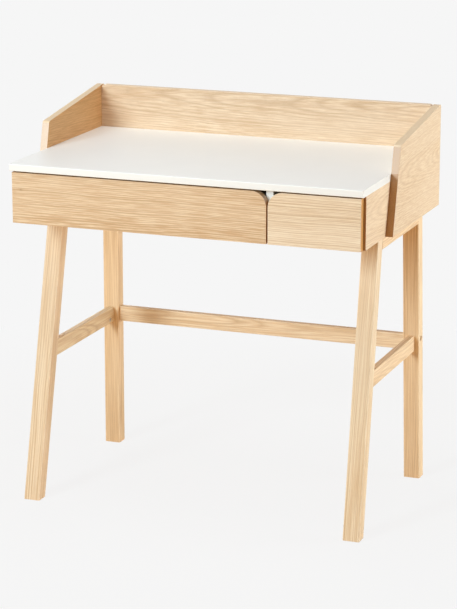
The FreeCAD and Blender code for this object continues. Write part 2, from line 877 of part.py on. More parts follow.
def drawer_runner(side_x, outward):
    """Steel angle on a drawer side: a flange below it, one that rides outside and a rear axle."""
    t = runner_steel
    reach = runner_space - flange_wall_gap
    section = [
        (-drawer_board, runner_base), (t, runner_base), (t, runner_flange), (reach, runner_flange),
        (reach, runner_flange + t), (0, runner_flange + t), (0, side_base), (-drawer_board, side_base),
    ]
    start = drawer_start + front_nip
    outline = [(side_x + outward * u, z) for u, z in section]
    angle = front_profile(outline, start, start + runner_length)
    roller_y, roller_z = drawer_roller_place()
    pin = axle(V(side_x + outward * t, roller_y, roller_z), V(outward, 0, 0), drawer_roller_gap())
    body = angle.fuse(pin).removeSplitter()
    holes = [runner_screw_hole(V(side_x, y, z), V(outward, 0, 0), t + overrun)
             for y, z in drawer_runner_screw_places()]
    return cut_all(body, holes)


def drawer_roller_gap():
    """Side play between a drawer runner's web and its roller."""
    return roller_side_gap / 2


def roller(start, outward):
    """A nylon roller with rounded rims, bored for its axle."""
    wheel = Part.makeCylinder(roller_radius, roller_width, start, outward)
    wheel = wheel.makeFillet(roller_side_gap, [edge for edge in wheel.Edges if len(edge.Vertexes) == 1])
    bore = Part.makeCylinder(axle_radius + axle_clearance, roller_width, start, outward)
    return wheel.cut(bore)


def case_roller(wall_x, inward):
    """A roller at the front of a runner on the case."""
    roller_y, roller_z = case_roller_place()
    start = V(wall_x + inward * (runner_steel + roller_side_gap), roller_y, roller_z)
    return roller(start, V(inward, 0, 0))


def case_runner_walls():
    """Faces of the case that carry a runner, with the direction towards the drawer."""
    walls = []
    for opening in (large_opening(), small_opening()):
        walls.append((opening[0], 1))
        walls.append((opening[1], -1))
    return walls


def drawer_roller(side_x, outward):
    """A roller at the rear of a runner on a drawer."""
    roller_y, roller_z = drawer_roller_place()
    start = V(side_x + outward * (runner_steel + drawer_roller_gap()), roller_y, roller_z)
    return roller(start, V(outward, 0, 0))


# Fixings: alike ones are separate solids in one node

def frame_dowels():
    """Dowels of both side frames and of the rear stretcher."""
    right = [leaned(dowel(point, V(0, 1, 0), frame_dowel_radius, length))
             for point, length in frame_dowel_places()]
    right.append(dowel(rear_dowel_point(), V(1, 0, 0), frame_dowel_radius, stretcher_dowel_length))
    return Part.makeCompound(right + [mirrored(piece) for piece in right])


def case_dowels():
    """Dowels that join the worktop, the case sides, the bottom and the gallery."""
    across = floor_dowel_points() + gallery_dowel_points()
    right = [dowel(point, V(1, 0, 0), case_dowel_radius, case_dowel_length) for point in across]
    upright = [dowel(point, V(0, 0, 1), case_dowel_radius, case_dowel_length) for point in roof_dowel_points()]
    return Part.makeCompound(right + [mirrored(piece) for piece in right] + upright)


def drawer_dowels(opening):
    """Dowels between a drawer's front and its sides."""
    return Part.makeCompound([dowel(point, V(0, 1, 0), case_dowel_radius, case_dowel_length)
                              for point in drawer_dowel_points(opening)])


def drawer_screws(opening):
    """Screws through a drawer's sides into its back."""
    return Part.makeCompound([screw(seat, axis, drawer_board + drawer_screw_bite)
                              for seat, axis in drawer_screw_seats(opening)])


def drawer_runner_screws(opening):
    """Screws that hold a drawer's two runners."""
    left, right = box_walls(opening)
    pieces = []
    for side_x, outward in ((left, -1), (right, 1)):
        for y, z in drawer_runner_screw_places():
            pieces.append(runner_screw(V(side_x + outward * runner_steel, y, z), V(-outward, 0, 0)))
    return Part.makeCompound(pieces)


def case_runner_screws():
    """Screws that hold the runners on the case."""
    pieces = []
    for wall_x, inward in case_runner_walls():
        for y, z in runner_screw_places():
            pieces.append(runner_screw(V(wall_x + inward * runner_steel, y, z), V(-inward, 0, 0)))
    return Part.makeCompound(pieces)


def frame_bolts():
    """Bolts of the side stretchers and of the rear stretcher."""
    right = [leaned(bolt(side_bolt_seat(), V(0, -1, 0))), bolt(rear_bolt_seat(), V(-1, 0, 0))]
    return Part.makeCompound(right + [mirrored(piece) for piece in right])


def barrel_nuts():
    """Barrel nuts that the frame bolts pull on."""
    depth = stretcher_thickness - nut_wall
    right = [
        leaned(barrel_nut(side_nut_face(), V(1, 0, 0), V(0, 1, 0), depth)),
        barrel_nut(rear_nut_face(), V(0, -1, 0), V(1, 0, 0), depth),
    ]
    return Part.makeCompound(right + [mirrored(piece) for piece in right])


def frame_screws():
    """Screws that go up through the top rails into the case."""
    right = [screw(seat, V(0, 0, 1), frame_screw_grip + frame_screw_bite) for seat in frame_screw_seats()]
    return Part.makeCompound(right + [mirrored(piece) for piece in right])


def gallery_screws():
    """Screws from inside the case into the gallery sides."""
    right = [screw(seat, V(1, 0, 0), side_board + panel_screw_bite) for seat in panel_screw_seats()]
    return Part.makeCompound(right + [mirrored(piece) for piece in right])


def back_screws():
    """Screws through the back board into the case."""
    return Part.makeCompound([screw(seat, V(0, -1, 0), gallery_board + back_screw_bite)
                              for seat in back_screw_seats()])


def foot_glides():
    """Round glides that stand a little proud of the four feet."""
    right = []
    for faces in ((front_leg_front, front_leg_rear), (rear_leg_front, rear_leg_rear)):
        disc = Part.makeCylinder(glide_radius, glide_thickness, glide_seat(*faces), V(0, 0, 1))
        bottom = [edge for edge in disc.Edges if len(edge.Vertexes) == 1 and edge.CenterOfMass.z < glide_projection]
        right.append(disc.makeChamfer(glide_projection / 2, bottom))
    return Part.makeCompound(right + [mirrored(piece) for piece in right])


def drawer_nodes(name, opening, front):
    """All the nodes of one drawer."""
    left, right = box_walls(opening)
    return {
        name + "_front": front,
        name + "_side_left": drawer_side(opening, left, 1),
        name + "_side_right": drawer_side(opening, right, -1),
        name + "_back": drawer_back(opening),
        name + "_base": drawer_base(opening),
        name + "_runner_left": drawer_runner(left, -1),
        name + "_runner_right": drawer_runner(right, 1),
        name + "_roller_left": drawer_roller(left, -1),
        name + "_roller_right": drawer_roller(right, 1),
        name + "_dowels": drawer_dowels(opening),
        name + "_back_screws": drawer_screws(opening),
        name + "_runner_screws": drawer_runner_screws(opening),
    }


def mirrored_pair(name, right):
    """A left and a right node from the right one."""
    return {name + "_right": right, name + "_left": mirrored(right)}


def build_nodes():
    """Every node of the desk by name."""
    nodes = {
        "worktop": worktop(),
        "case_bottom": case_bottom(),
        "case_divider": case_divider(),
        "gallery_back": gallery_back(),
        "rear_stretcher": rear_stretcher(),
        "case_runner_screws": case_runner_screws(),
        "case_dowels": case_dowels(),
        "frame_dowels": frame_dowels(),
        "frame_bolts": frame_bolts(),
        "barrel_nuts": barrel_nuts(),
        "frame_screws": frame_screws(),
        "gallery_screws": gallery_screws(),
        "back_screws": back_screws(),
        "foot_glides": foot_glides(),
    }
    nodes.update(mirrored_pair("case_side", case_side()))
    nodes.update(mirrored_pair("gallery_side", gallery_side()))
    nodes.update(mirrored_pair("front_leg", front_leg()))
    nodes.update(mirrored_pair("rear_leg", rear_leg()))
    nodes.update(mirrored_pair("top_rail", top_rail()))
    nodes.update(mirrored_pair("side_stretcher", side_stretcher()))
    nodes.update(drawer_nodes("large_drawer", large_opening(), large_front()))
    nodes.update(drawer_nodes("small_drawer", small_opening(), small_front()))
    places = ("large_left", "large_right", "small_left", "small_right")
    for place, (wall_x, inward) in zip(places, case_runner_walls()):
        nodes["case_runner_" + place] = case_runner(wall_x, inward)
        nodes["case_roller_" + place] = case_roller(wall_x, inward)
    return nodes


def main():
    """Write one STEP file for each node."""
    os.makedirs("parts", exist_ok=True)
    for name, shape in sorted(build_nodes().items()):
        if not shape.isValid():
            raise ValueError("invalid solid in " + name)
        shape.exportStep("parts/" + name + ".step")
        print(name, len(shape.Solids), round(shape.Volume))


main()
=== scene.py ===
"""Looks of the writing desk: oak veneer, white lacquer, plywood drawers, steel runners and their fixings."""

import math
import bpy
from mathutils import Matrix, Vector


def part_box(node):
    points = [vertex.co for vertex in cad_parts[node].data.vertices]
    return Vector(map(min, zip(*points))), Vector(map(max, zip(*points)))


bl_info = {
    "name": "Writing Desk",
    "version": (1, 0, 0),
    "blender": (4, 5, 0),
    "location": "View3D > Sidebar > Desk",
    "description": "Finishes a packed writing desk and sets its stage",
    "category": "Object",
}

from collections import namedtuple

import bmesh
import bpy
from bpy.props import FloatProperty, FloatVectorProperty, PointerProperty
from mathutils import Vector

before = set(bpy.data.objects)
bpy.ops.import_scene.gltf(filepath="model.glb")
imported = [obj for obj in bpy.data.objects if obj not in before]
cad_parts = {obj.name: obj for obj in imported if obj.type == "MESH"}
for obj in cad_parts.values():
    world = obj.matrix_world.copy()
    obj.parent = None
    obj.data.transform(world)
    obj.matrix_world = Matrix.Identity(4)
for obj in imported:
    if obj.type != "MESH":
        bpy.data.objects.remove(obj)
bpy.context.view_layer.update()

MILLIMETRE = 0.001


# Settings

class DeskFinishes(bpy.types.PropertyGroup):
    """Colours and sizes of the desk's finishes."""

    veneer_light: FloatVectorProperty(
        name="Veneer light", description="Pale part of the oak veneer between two growth rings",
        subtype="COLOR", min=0.0, max=1.0, default=(0.88, 0.712, 0.502))
    veneer_dark: FloatVectorProperty(
        name="Veneer dark", description="Late wood of the oak veneer's growth rings",
        subtype="COLOR", min=0.0, max=1.0, default=(0.63, 0.4, 0.21))
    veneer_edge: FloatVectorProperty(
        name="Veneer edge", description="Edge bands of the veneered boards",
        subtype="COLOR", min=0.0, max=1.0, default=(0.73, 0.565, 0.42))
    upper_edge: FloatVectorProperty(
        name="Upper edge", description="Edge bands along the tops of the veneered boards",
        subtype="COLOR", min=0.0, max=1.0, default=(0.78, 0.6, 0.375))
    # Painted shade: darkened for the shaded front edges of the right side boards and the drawer reveals
    shaded_side_edge: FloatVectorProperty(
        name="Side edge", description="Dark edge bands of the right side boards and the large drawer's front",
        subtype="COLOR", min=0.0, max=1.0, default=(0.44, 0.22, 0.075))
    front_edge: FloatVectorProperty(
        name="Small front's edge", description="Warm edge bands of the small drawer's front",
        subtype="COLOR", min=0.0, max=1.0, default=(0.68, 0.33, 0.08))
    # Painted shade: darkened for the drawer fronts' top edges and grip corners, in shade under the worktop
    shaded_grip_edge: FloatVectorProperty(
        name="Grip edge", description="Edge bands along the tops and rounded corners of the drawer fronts",
        subtype="COLOR", min=0.0, max=1.0, default=(0.38, 0.18, 0.04))
    solid_light: FloatVectorProperty(
        name="Solid light", description="Pale part of the solid oak in the legs and rails",
        subtype="COLOR", min=0.0, max=1.0, default=(0.87, 0.692, 0.478))
    solid_dark: FloatVectorProperty(
        name="Solid dark", description="Late wood of the solid oak in the legs and rails",
        subtype="COLOR", min=0.0, max=1.0, default=(0.68, 0.45, 0.235))
    ring_spacing: FloatProperty(
        name="Ring spacing", description="Distance between two growth rings of the oak",
        unit="LENGTH", min=0.001, max=0.02, default=0.004)
    white_lacquer: FloatVectorProperty(
        name="White lacquer", description="Colour of the worktop and the divider",
        subtype="COLOR", min=0.0, max=1.0, default=(0.915, 0.935, 0.93))
    plywood: FloatVectorProperty(
        name="Plywood", description="Colour of the drawer boxes",
        subtype="COLOR", min=0.0, max=1.0, default=(0.76, 0.6, 0.41))
    runner_paint: FloatVectorProperty(
        name="Runner paint", description="Powder coat of the drawer runners",
        subtype="COLOR", min=0.0, max=1.0, default=(0.78, 0.78, 0.76))
    roller_nylon: FloatVectorProperty(
        name="Roller nylon", description="Colour of the runners' rollers",
        subtype="COLOR", min=0.0, max=1.0, default=(0.8, 0.79, 0.74))
    zinc_plate: FloatVectorProperty(
        name="Zinc plate", description="Colour of the bolts, nuts and screws",
        subtype="COLOR", min=0.0, max=1.0, default=(0.74, 0.73, 0.7))
    beech_light: FloatVectorProperty(
        name="Beech light", description="Pale part of the dowels' beech",
        subtype="COLOR", min=0.0, max=1.0, default=(0.66, 0.47, 0.28))
    beech_dark: FloatVectorProperty(
        name="Beech dark", description="Late wood of the dowels' beech",
        subtype="COLOR", min=0.0, max=1.0, default=(0.5, 0.32, 0.17))
    glide_plastic: FloatVectorProperty(
        name="Glide plastic", description="Colour of the glides under the feet",
        subtype="COLOR", min=0.0, max=1.0, default=(0.1, 0.09, 0.08))


class DeskStage(bpy.types.PropertyGroup):
    """Floor, light and camera."""

    background: FloatVectorProperty(
        name="Background", description="Colour of the floor and the backdrop as the camera sees them",
        subtype="COLOR", min=0.0, max=1.0, default=(0.922, 0.922, 0.922))
    floor_bounce: FloatVectorProperty(
        name="Floor bounce", description="Tint of the light that the floor throws back at the desk",
        subtype="COLOR", min=0.0, max=1.0, default=(0.92, 0.64, 0.38))
    key_power: FloatProperty(
        name="Key light", description="Power of the soft light in front, a little to the left",
        unit="POWER", min=0.0, default=149.0)
    top_power: FloatProperty(
        name="Top light", description="Power of the soft light above the worktop",
        unit="POWER", min=0.0, default=31.0)
    side_power: FloatProperty(
        name="Side light", description="Power of the low soft light at the right",
        unit="POWER", min=0.0, default=80.0)
    back_power: FloatProperty(
        name="Back light", description="Power of the low soft light behind, at the left",
        unit="POWER", min=0.0, default=70.0)
    world_strength: FloatProperty(
        name="Room light", description="Strength of the even light from all round",
        subtype="FACTOR", min=0.0, max=2.0, default=0.19)
    room_warmth: FloatVectorProperty(
        name="Room warmth", description="Tint of the even light from all round",
        subtype="COLOR", min=0.0, max=1.0, default=(1.0, 0.56, 0.25))
    focal_length: FloatProperty(
        name="Focal length", description="Focal length of the camera in millimetres",
        unit="CAMERA", min=10.0, max=500.0, default=138.87)


# Building materials from nodes

# A colour mix node's own sockets: its two colours and their mix
MIX_FIRST = 6
MIX_SECOND = 7
MIX_RESULT = 2


class Nodes:
    """A node tree under construction, with a short way to add its nodes."""

    def __init__(self, tree):
        self.tree = tree

    def fill(self, node, inputs):
        """Fills a node's sockets: a socket is linked and a number is set on it."""
        for name, value in inputs.items():
            if isinstance(value, bpy.types.NodeSocket):
                self.tree.links.new(value, node.inputs[name])
            else:
                node.inputs[name].default_value = value

    def add(self, kind, inputs=None, **settings):
        """A node of a kind, its settings made and its sockets filled."""
        node = self.tree.nodes.new(kind)
        for name, value in settings.items():
            setattr(node, name, value)
        self.fill(node, inputs or {})
        return node

    def coordinates(self):
        """Object coordinates, in metres."""
        return self.add("ShaderNodeTexCoord").outputs["Object"]

    def length(self, vector):
        """A vector's length."""
        return self.add("ShaderNodeVectorMath", {0: vector}, operation="LENGTH").outputs["Value"]


class Recipe(Nodes):
    """A material under construction, with the steps that its patterns are made of."""

    def __init__(self, name):
        self.material = bpy.data.materials.new(name)
        self.material.use_nodes = True
        super().__init__(self.material.node_tree)
        self.shader = self.tree.nodes["Principled BSDF"]

    def normal(self):
        """The direction that the surface faces."""
        return self.add("ShaderNodeNewGeometry").outputs["Normal"]

    def parts(self, vector):
        """A vector's X, Y and Z."""
        return self.add("ShaderNodeSeparateXYZ", {"Vector": vector}).outputs

    def vector(self, x, y, z=0.0):
        """A vector from its parts."""
        return self.add("ShaderNodeCombineXYZ", {"X": x, "Y": y, "Z": z}).outputs[0]

    def math(self, operation, first, second=0.0):
        """The result of one sum on two values."""
        return self.add("ShaderNodeMath", {0: first, 1: second}, operation=operation).outputs[0]

    def scaled(self, value, factor, offset):
        """A value times a factor, plus an offset."""
        return self.add("ShaderNodeMath", {
            0: value, 1: factor, 2: offset,
        }, operation="MULTIPLY_ADD").outputs[0]

    def less(self, vector, offset):
        """A vector with another taken away."""
        return self.add("ShaderNodeVectorMath", {0: vector, 1: offset}, operation="SUBTRACT").outputs[0]

    def stretched(self, vector, factors):
        """A vector with each part multiplied."""
        return self.add("ShaderNodeVectorMath", {0: vector, 1: factors}, operation="MULTIPLY").outputs[0]

    def mix(self, factor, first, second, blend="MIX"):
        """Two colours mixed."""
        return self.add("ShaderNodeMix", {
            "Factor": factor, MIX_FIRST: first, MIX_SECOND: second,
        }, data_type="RGBA", blend_type=blend).outputs[MIX_RESULT]

    def noise(self, vector, scale, detail=2.0, roughness=0.5):
        """A noise texture's factor."""
        return self.add("ShaderNodeTexNoise", {
            "Vector": vector, "Scale": scale, "Detail": detail, "Roughness": roughness,
        }).outputs["Fac"]

    def grain(self, vector, frequency, detail=2.0, roughness=0.5):
        """Noise with a frequency of its own along each part of the vector."""
        return self.noise(self.stretched(vector, frequency), scale=1.0, detail=detail, roughness=roughness)

    def noise_along(self, value, scale, detail):
        """Noise that changes with one value only."""
        return self.add("ShaderNodeTexNoise", {
            "W": value, "Scale": scale, "Detail": detail,
        }, noise_dimensions="1D").outputs["Fac"]

    def ramp(self, value, stops):
        """A value turned into grey levels by (position, level) stops."""
        node = self.add("ShaderNodeValToRGB", {"Fac": value})
        elements = node.color_ramp.elements
        while len(elements) < len(stops):
            elements.new(0.5)
        for element, (position, level) in zip(elements, stops):
            element.position = position
            element.color = (level, level, level, 1.0)
        return node.outputs["Color"]

    def rise(self, value, start, end, top=1.0):
        """A grey level that rises from zero, where the value is start, to top, where it is end."""
        return self.ramp(value, ((start, 0.0), (end, top)))

    def bump(self, height, strength, distance):
        """Bump from a height."""
        return self.add("ShaderNodeBump", {
            "Height": height, "Strength": strength, "Distance": distance,
        }).outputs["Normal"]

    def surface(self, **values):
        """Fills the shader's sockets, named with _ for each space, and gives the material."""
        self.fill(self.shader, {name.replace("_", " "): value for name, value in values.items()})
        return self.material


def rgba(colour, shade=1.0):
    """A colour setting with its alpha."""
    return (colour[0] * shade, colour[1] * shade, colour[2] * shade, 1.0)


def tinted(colour, tint, share=1.0):
    """A colour in the tint of a log, or in a share of that tint."""
    return [part * factor ** share for part, factor in zip(colour, tint)]


# Wood

# The object's axis along the grain, across the board's face and through its thickness
GRAIN_AXES = {
    "front": "XZY",
    "side": "YZX",
    "level": "XYZ",
    "upright": "ZXY",
}

# How a piece was sawn from its log. lay is one of GRAIN_AXES; centre is the height of the log's middle line
# on the face, from the piece's middle; depth is how far the log's middle lies behind the piece's middle; both
# are in millimetres. slope is how much that depth grows along the grain, which makes the pointed arches of
# flat-sawn wood.
Cut = namedtuple("Cut", "lay centre depth slope")

# Colours of a board's edge bands: band for all of them, half mixed with upright above the worktop, and top
# on those that face upwards. The dark bands and tops are painted shade: they darken the edges below the
# worktop and the drawer fronts' top edges, which lie in shade.
Edges = namedtuple("Edges", "band upright top")

# A board's surface is an edge where its normal has less than this along the board's thickness
EDGE_LIMIT = 0.6

# A surface faces the sitter's right where its normal has more than this along X
RIGHT_LIMIT = 0.8

# Turns of noise a millimetre, along the grain, across it and through the board
SLOW_SWAY = (0.0024, 0.007, 0.007)
QUICK_SWAY = (0.01, 0.04, 0.04)
BANDS = (0.003, 0.07, 0.07)
TONE = (0.0028, 0.014, 0.014)
PORES = (0.09, 2.2, 2.2)
STREAKS_ACROSS = 0.42

# How far the rings sway from true circles, in millimetres
SLOW_SWAY_WIDTH = 22.0
QUICK_SWAY_WIDTH = 2.6

# How far a ring's uneven width shifts its neighbours, in rings, and how many rings further on the noise of
# the rings' strength is read, so that it differs from that of their width
RING_SHIFT = 1.5
STRENGTH_SHIFT = 31.0

# Ring spacing of the solid oak as a share of the veneer's, and that of the dowels in metres
SOLID_SPACING = 0.9
DOWEL_SPACING = 2 * MILLIMETRE

# Length of the streaks along the grain, in millimetres: short where a veneer knife cuts through them
VENEER_STREAK = 80.0
SOLID_STREAK = 250.0

# How much of a log's tint its late wood takes, from 0 to 1
LATE_TINT = 0.4

# The palest wood as shares of the light wood's red, green and blue
PALE_SHARES = (1.03, 1.07, 1.14)

# The dark marks as shares of the late wood's colour
BAND_SHADE = 1.02
RING_SHADE = 0.86
PORE_SHADE = 0.7
KNOT_SHADE = 0.6

# How much of the wood's own colour the marks cover, from 0 to 1
PORE_COVER = 0.4
TONE_COVER = 0.25
EDGE_STREAK_COVER = 0.3
# The cover on the rounded edges is a painted highlight that pales them
ARRIS_HIGHLIGHT_COVER = 0.55
KNOT_COVER = 0.6
# Above the worktop the edge bands take this share of the lit colour; below it they keep the band's painted
# shade
LIT_BAND_COVER = 0.5

# A pin knot is longer along the grain, where its length counts only by this share. The wood is darker round
# it up to its reach, in millimetres.
KNOT_STRETCH = 0.6
KNOT_REACH = 6.0

# Roughness of the lacquered wood, how much rougher its pores are and how much smoother its edge bands
WOOD_ROUGHNESS = 0.55
PORE_ROUGHNESS = 0.2
EDGE_GLOSS = 0.25

# Height of the streaks as a share of the pores' depth
STREAK_RELIEF = 0.35


def board_coordinates(recipe, piece, lay, lean=0.0):
    """Millimetres from a piece's middle: along the grain, across it and through the board."""
    low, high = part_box(piece)
    middle = [(low[axis] + high[axis]) / 2 for axis in range(3)]
    leaned = recipe.add("ShaderNodeMapping", {
        "Vector": recipe.less(recipe.coordinates(), middle),
        "Rotation": (lean, 0.0, 0.0),
        "Scale": (1 / MILLIMETRE,) * 3,
    }).outputs[0]
    parts = recipe.parts(leaned)
    return [parts[axis] for axis in GRAIN_AXES[lay]]


def log_vector(recipe, piece, cut, lean):
    """Millimetres along the grain and from the log's middle line."""
    along, across, through = board_coordinates(recipe, piece, cut.lay, lean)
    across = recipe.math("SUBTRACT", across, cut.centre)
    behind = recipe.math("ADD", through, cut.depth)
    behind = recipe.scaled(along, cut.slope, behind)
    return recipe.vector(along, across, behind)


def swayed(recipe, vector, frequency, width):
    """A vector with a random sway across the grain."""
    sway = recipe.add("ShaderNodeTexNoise", {
        "Vector": recipe.stretched(vector, frequency), "Scale": 1.0, "Detail": 2.0,
    }).outputs["Color"]
    return recipe.add("ShaderNodeVectorMath", {
        0: recipe.less(sway, (0.5, 0.5, 0.5)), 1: (0.0, width, width), 2: vector,
    }, operation="MULTIPLY_ADD").outputs[0]


def growth_rings(recipe, vector, spacing):
    """Late wood and early wood from 0 to 1, in rings of uneven width and strength round the log."""
    vector = swayed(recipe, vector, SLOW_SWAY, SLOW_SWAY_WIDTH)
    vector = swayed(recipe, vector, QUICK_SWAY, QUICK_SWAY_WIDTH)
    radius = recipe.length(recipe.stretched(vector, (0.0, 1.0, 1.0)))
    count = recipe.math("DIVIDE", radius, spacing / MILLIMETRE)
    uneven = recipe.noise_along(count, scale=0.42, detail=1.0)
    phase = recipe.math("FRACT", recipe.scaled(uneven, RING_SHIFT, count))
    late = recipe.ramp(phase, ((0.0, 1.0), (0.22, 0.5), (0.5, 0.0), (0.78, 0.3), (1.0, 1.0)))
    early = recipe.ramp(phase, ((0.0, 1.0), (0.35, 0.5), (0.6, 0.1)))
    strength = recipe.noise_along(recipe.math("ADD", count, STRENGTH_SHIFT), scale=0.31, detail=2.0)
    strength = recipe.ramp(strength, ((0.3, 0.45), (0.6, 1.0)))
    return recipe.math("MULTIPLY", late, strength), early


def off_face(recipe, lay):
    """One on a board's edges and ends, zero on its faces."""
    through = GRAIN_AXES[lay][2]
    facing = recipe.math("ABSOLUTE", recipe.parts(recipe.normal())[through])
    return recipe.math("LESS_THAN", facing, EDGE_LIMIT)


def lit_above_worktop(recipe):
    """One above the worktop's top, zero below it, where the edge bands keep their painted shade."""
    worktop_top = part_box("worktop")[1][2]
    return recipe.math("GREATER_THAN", recipe.parts(recipe.coordinates())["Z"], worktop_top)


def facing_up(recipe):
    """One on edges that face upwards, zero on those that face sideways or down."""
    return recipe.rise(recipe.parts(recipe.normal())["Z"], start=0.3, end=0.5)


def facing_right(recipe):
    """One on the face towards the sitter's right."""
    return recipe.math("GREATER_THAN", recipe.parts(recipe.normal())["X"], RIGHT_LIMIT)


def arris_highlight(recipe):
    """One on the rounded edges between two faces, zero on the faces: the mask of their painted highlight."""
    parts = recipe.parts(recipe.add("ShaderNodeVectorMath", {
        0: recipe.normal(),
    }, operation="ABSOLUTE").outputs[0])
    largest = recipe.math("MAXIMUM", recipe.math("MAXIMUM", parts["X"], parts["Y"]), parts["Z"])
    return recipe.ramp(largest, ((0.9, 1.0), (0.955, 0.0)))


def pin_knot(recipe, piece, lay, knot):
    """One in the middle of a pin knot of some three millimetres, falling to zero round it."""
    along, across = board_coordinates(recipe, piece, lay)[:2]
    along = recipe.math("MULTIPLY", recipe.math("SUBTRACT", along, knot[0]), KNOT_STRETCH)
    across = recipe.math("SUBTRACT", across, knot[1])
    distance = recipe.length(recipe.vector(along, across))
    return recipe.ramp(recipe.math("DIVIDE", distance, KNOT_REACH), ((0.12, 1.0), (0.4, 0.35), (1.0, 0.0)))


def edge_band(recipe, edges, strands, dark):
    """Colour of a board's edge bands, with faint streaks; its dark bands and tops are painted shade."""
    # Painted shade: below the worktop's top the band keeps its dark colour, above it half the lit colour is
    # mixed in
    above = recipe.math("MULTIPLY", lit_above_worktop(recipe), LIT_BAND_COVER)
    band = recipe.mix(above, rgba(edges.band), rgba(edges.upright))
    # Upward edges take the top colour: lit on the right side boards, painted shade on the drawer fronts
    band = recipe.mix(facing_up(recipe), band, rgba(edges.top))
    streaks = recipe.rise(strands, start=0.3, end=0.7, top=EDGE_STREAK_COVER)
    return recipe.mix(streaks, band, rgba(dark))


def wood(name, piece, cut, light, dark, spacing, rings=0.6, streaks=0.6, clouds=0.14, edges=None, lean=0.0,
         knot=None, right_face_shade=None, streak_length=SOLID_STREAK):
    """Satin lacquered wood: rings, streaks, pores, slow tone changes, glossier edges and painted highlights
    on rounded edges.

    spacing is the distance between two rings in metres. rings, streaks and clouds say from 0 to 1 how strong
    these marks are. edges holds the colours of edge bands, and lean turns the grain in the side view. knot is
    the place of a pin knot along and across the grain, in millimetres from the piece's middle. The tint for
    the face towards the sitter's right is painted shade, which darkens and warms that face.
    """
    recipe = Recipe(name)
    vector = log_vector(recipe, piece, cut, lean)
    late, early = growth_rings(recipe, vector, spacing)
    strands = recipe.grain(vector, (1 / streak_length, STREAKS_ACROSS, STREAKS_ACROSS), roughness=0.6)
    bands = recipe.grain(vector, BANDS)
    tone = recipe.grain(vector, TONE, detail=1.0)
    dashes = recipe.grain(vector, PORES, detail=1.0)
    pores = recipe.math("MULTIPLY", recipe.rise(dashes, start=0.57, end=0.66), early)

    streak_share = recipe.math("MULTIPLY", recipe.rise(strands, start=0.4, end=0.6), streaks)
    colour = recipe.mix(streak_share, rgba(light), rgba(dark))
    cloud_share = recipe.rise(bands, start=0.4, end=0.65, top=clouds)
    colour = recipe.mix(cloud_share, colour, rgba(dark, BAND_SHADE))
    colour = recipe.mix(recipe.math("MULTIPLY", late, rings), colour, rgba(dark, RING_SHADE))
    colour = recipe.mix(recipe.math("MULTIPLY", pores, PORE_COVER), colour, rgba(dark, PORE_SHADE))
    pale = rgba(tinted(light, PALE_SHARES))
    colour = recipe.mix(recipe.rise(tone, start=0.4, end=0.68, top=TONE_COVER), colour, pale)
    # Painted shade: the face towards the sitter's right is darkened and warmed
    if right_face_shade:
        colour = recipe.mix(facing_right(recipe), colour, rgba(right_face_shade), blend="MULTIPLY")
    if edges:
        colour = recipe.mix(off_face(recipe, cut.lay), colour, edge_band(recipe, edges, strands, dark))
    # Painted highlight: the rounded edges are paled, as if they caught the light
    colour = recipe.mix(recipe.math("MULTIPLY", arris_highlight(recipe), ARRIS_HIGHLIGHT_COVER), colour, pale)
    if knot:
        knot_share = recipe.math("MULTIPLY", pin_knot(recipe, piece, cut.lay, knot), KNOT_COVER)
        colour = recipe.mix(knot_share, colour, rgba(dark, KNOT_SHADE))

    rough = recipe.scaled(pores, PORE_ROUGHNESS, WOOD_ROUGHNESS)
    if edges:
        gloss = recipe.math("MULTIPLY", off_face(recipe, cut.lay), EDGE_GLOSS)
        rough = recipe.math("SUBTRACT", rough, gloss)
    relief = recipe.math("SUBTRACT", recipe.math("MULTIPLY", strands, STREAK_RELIEF), pores)
    normal = recipe.bump(relief, strength=0.3, distance=0.0001)
    return recipe.surface(Base_Color=colour, Roughness=rough, Normal=normal, IOR=1.45)


# Other finishes

# Thickness of a pale and a dark ply together, and how far from the board's middle they are counted from, in
# millimetres
PLY_PAIR = 2.6
PLY_START = 50.0

# Turns of noise a millimetre on plywood, along the grain, across it and through the board
PLY_FIBRES = (0.02, 0.6, 0.6)
PLY_CLOUDS = (0.006, 0.03, 0.03)

# Turns of noise a metre on zinc plate: the scratches run to the rear and upwards, close beside each other
SCRATCHES = (3000.0, 300.0, 300.0)


def lacquer(name, colour):
    """White lacquer: satin, with the faint unevenness of a sprayed board."""
    recipe = Recipe(name)
    coordinates = recipe.coordinates()
    peel = recipe.noise(coordinates, scale=420.0)
    wave = recipe.noise(coordinates, scale=9.0)
    tint = recipe.mix(recipe.rise(wave, start=0.3, end=0.7), rgba(colour), rgba(colour, shade=0.985))
    rough = recipe.scaled(wave, factor=0.08, offset=0.34)
    normal = recipe.bump(peel, strength=0.12, distance=0.00008)
    return recipe.surface(Base_Color=tint, Roughness=rough, Normal=normal, IOR=1.5)


def plywood(name, piece, lay, colour):
    """Plywood: quiet face veneer, with the dark and pale plies on its edges."""
    recipe = Recipe(name)
    along, across, through = board_coordinates(recipe, piece, lay)
    vector = recipe.vector(along, across, through)
    fibres = recipe.grain(vector, PLY_FIBRES, detail=3.0, roughness=0.6)
    clouds = recipe.grain(vector, PLY_CLOUDS)
    fibre_share = recipe.rise(fibres, start=0.35, end=0.7, top=0.5)
    cloud_share = recipe.rise(clouds, start=0.35, end=0.7, top=0.4)
    face = recipe.mix(fibre_share, rgba(colour), rgba(colour, shade=0.78))
    face = recipe.mix(cloud_share, face, rgba(colour, shade=0.86))
    layer = recipe.math("DIVIDE", recipe.math("ADD", through, PLY_START), PLY_PAIR)
    plies = recipe.ramp(recipe.math("FRACT", layer), ((0.0, 0.0), (0.46, 0.05), (0.5, 1.0), (0.96, 0.9)))
    edge = recipe.mix(plies, rgba(colour, shade=1.05), rgba(colour, shade=0.55))
    tint = recipe.mix(off_face(recipe, lay), face, edge)
    normal = recipe.bump(fibres, strength=0.3, distance=0.0001)
    return recipe.surface(Base_Color=tint, Roughness=0.58, Normal=normal)


